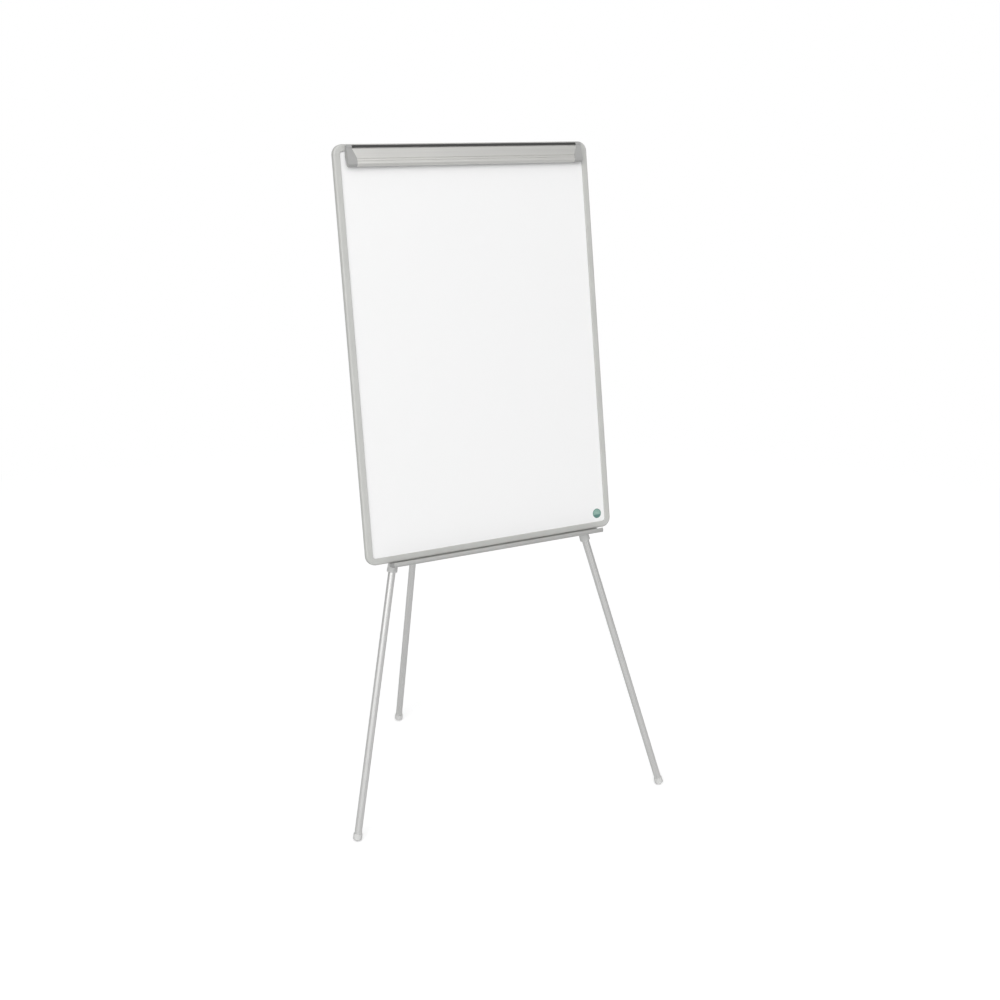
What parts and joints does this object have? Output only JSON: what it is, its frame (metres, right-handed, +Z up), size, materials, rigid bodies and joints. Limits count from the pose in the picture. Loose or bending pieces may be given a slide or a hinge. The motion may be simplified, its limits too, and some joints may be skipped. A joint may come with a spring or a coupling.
{
  "type": "flipchart easel",
  "caption": "Tripod flipchart easel: framed whiteboard with a hinged pad clamp and a pen tray, hung on a tripod head with folding telescopic legs.",
  "frame": {"origin": "centre of the easel's bounding box, at the floor under the feet", "axes": "+Z up, +X to the viewer's right along the board when facing its writing side, +Y backwards, towards the rear leg"},
  "size_m": [0.874, 0.752, 1.7361],
  "materials": {
    "frame_plastic": "satin grey moulding",
    "cap_plastic": "satin grey moulding",
    "leg_plastic": "light grey moulding",
    "upper_tube_metal": "silver grey powder coat",
    "lower_tube_metal": "satin anodised",
    "clamp_aluminium": "satin anodised",
    "tray_aluminium": "satin anodised",
    "white_lacquer": "white dry-wipe lacquer",
    "board_fibre": "bare fibreboard edge",
    "back_laminate": "mill finish foil",
    "black_plastic": "black moulding",
    "head_plastic": "dark grey glass-filled moulding",
    "black_steel": "black powder coat",
    "zinc_steel": "bright zinc plate",
    "spring_steel": "plain spring wire",
    "grip_rubber": "black rubber",
    "sticker_green": "printed vinyl"
  },
  "bodies": {
    "tripod_head": {"head_spider": "head_plastic", "head_bracket": "black_steel", "head_washers": "zinc_steel", "head_bolt": "zinc_steel", "head_nut": "zinc_steel", "leg_pin_left": "zinc_steel", "leg_pin_right": "zinc_steel", "leg_pin_rear": "zinc_steel"},
    "board": {"back_sheet": "back_laminate", "board_core": "board_fibre", "clamp_base_rail": "clamp_aluminium", "clamp_hinge_strip": "black_plastic", "clamp_rail_screws": "zinc_steel", "corner_sticker": "sticker_green", "frame_corner_bottom_left": "frame_plastic", "frame_corner_bottom_right": "frame_plastic", "frame_corner_top_left": "frame_plastic", "frame_corner_top_right": "frame_plastic", "frame_rail_bottom": "frame_plastic", "frame_rail_left": "frame_plastic", "frame_rail_right": "frame_plastic", "frame_rail_top": "frame_plastic", "frame_screws": "zinc_steel", "hanger_plate": "black_steel", "hanger_screws": "zinc_steel", "hanger_spacer": "black_plastic", "pen_tray": "tray_aluminium", "tray_cap_left": "cap_plastic", "tray_cap_right": "cap_plastic", "tray_screws": "zinc_steel", "writing_sheet": "white_lacquer"},
    "clamp_jaw_body": {"clamp_jaw": "clamp_aluminium", "clamp_cap_left": "cap_plastic", "clamp_cap_right": "cap_plastic", "clamp_grip_strip": "grip_rubber", "clamp_springs": "spring_steel"},
    "left_pad_hook": {"pad_hook_left": "black_plastic"},
    "right_pad_hook": {"pad_hook_right": "black_plastic"},
    "left_upper_leg": {"leg_knuckle_left": "leg_plastic", "upper_tube_left": "upper_tube_metal", "leg_collar_left": "leg_plastic"},
    "left_lock_ring": {"lock_ring_left": "black_plastic"},
    "left_lower_leg": {"lower_tube_left": "lower_tube_metal", "lock_plug_left": "black_plastic", "foot_left": "leg_plastic"},
    "right_upper_leg": {"leg_knuckle_right": "leg_plastic", "upper_tube_right": "upper_tube_metal", "leg_collar_right": "leg_plastic"},
    "right_lock_ring": {"lock_ring_right": "black_plastic"},
    "right_lower_leg": {"lower_tube_right": "lower_tube_metal", "lock_plug_right": "black_plastic", "foot_right": "leg_plastic"},
    "rear_upper_leg": {"leg_knuckle_rear": "leg_plastic", "upper_tube_rear": "upper_tube_metal", "leg_collar_rear": "leg_plastic"},
    "rear_lock_ring": {"lock_ring_rear": "black_plastic"},
    "rear_lower_leg": {"lower_tube_rear": "lower_tube_metal", "lock_plug_rear": "black_plastic", "foot_rear": "leg_plastic"}
  },
  "joints": [
    {"name": "board_lift", "type": "slide", "parent": "tripod_head", "child": "board", "axis": [0, 0.1461, 0.9893], "range_m": [0, 0.03]},
    {"name": "clamp_hinge", "type": "hinge", "parent": "board", "child": "clamp_jaw_body", "pos_m": [-0.05337, -0.15896, 1.72973], "axis": [-1, 0, 0], "range_deg": [0, 40], "stiffness_Nm_per_rad": 0.35, "springref_deg": -28.65, "deforming": ["clamp_springs"]},
    {"name": "left_pad_hook_slide", "type": "slide", "parent": "board", "child": "left_pad_hook", "axis": [1, 0, 0], "range_m": [-0.09, 0.15]},
    {"name": "right_pad_hook_slide", "type": "slide", "parent": "board", "child": "right_pad_hook", "axis": [1, 0, 0], "range_m": [-0.15, 0.09]},
    {"name": "left_leg_hinge", "type": "hinge", "parent": "tripod_head", "child": "left_upper_leg", "pos_m": [-0.09371, -0.1116, 1.67796], "axis": [0.3584, -0.9336, 0], "range_deg": [0, 12]},
    {"name": "left_leg_slide", "type": "slide", "parent": "left_upper_leg", "child": "left_lock_ring", "axis": [-0.1941, -0.0745, -0.9781], "range_m": [-0.66, 0.12]},
    {"name": "left_leg_twist", "type": "hinge", "parent": "left_lock_ring", "child": "left_lower_leg", "pos_m": [-0.29101, -0.18734, 0.68367], "axis": [-0.1941, -0.0745, -0.9781], "range_deg": [0, 180]},
    {"name": "right_leg_hinge", "type": "hinge", "parent": "tripod_head", "child": "right_upper_leg", "pos_m": [-0.02138, -0.11665, 1.67796], "axis": [0.4848, 0.8746, 0], "range_deg": [0, 17]},
    {"name": "right_leg_slide", "type": "slide", "parent": "right_upper_leg", "child": "right_lock_ring", "axis": [0.2557, -0.1417, -0.9563], "range_m": [-0.66, 0.12]},
    {"name": "right_leg_twist", "type": "hinge", "parent": "right_lock_ring", "child": "right_lower_leg", "pos_m": [0.23855, -0.26074, 0.70588], "axis": [0.2557, -0.1417, -0.9563], "range_deg": [0, 180]},
    {"name": "rear_leg_hinge", "type": "hinge", "parent": "tripod_head", "child": "rear_upper_leg", "pos_m": [-0.05358, -0.05736, 1.67796], "axis": [-0.9976, 0.0698, 0], "range_deg": [0, 14.2]},
    {"name": "rear_leg_slide", "type": "slide", "parent": "rear_upper_leg", "child": "rear_lock_ring", "axis": [0.0171, 0.2447, -0.9694], "range_m": [-0.66, 0.12]},
    {"name": "rear_leg_twist", "type": "hinge", "parent": "rear_lock_ring", "child": "rear_lower_leg", "pos_m": [-0.03618, 0.19139, 0.69252], "axis": [0.0171, 0.2447, -0.9694], "range_deg": [0, 180]}
  ]
}
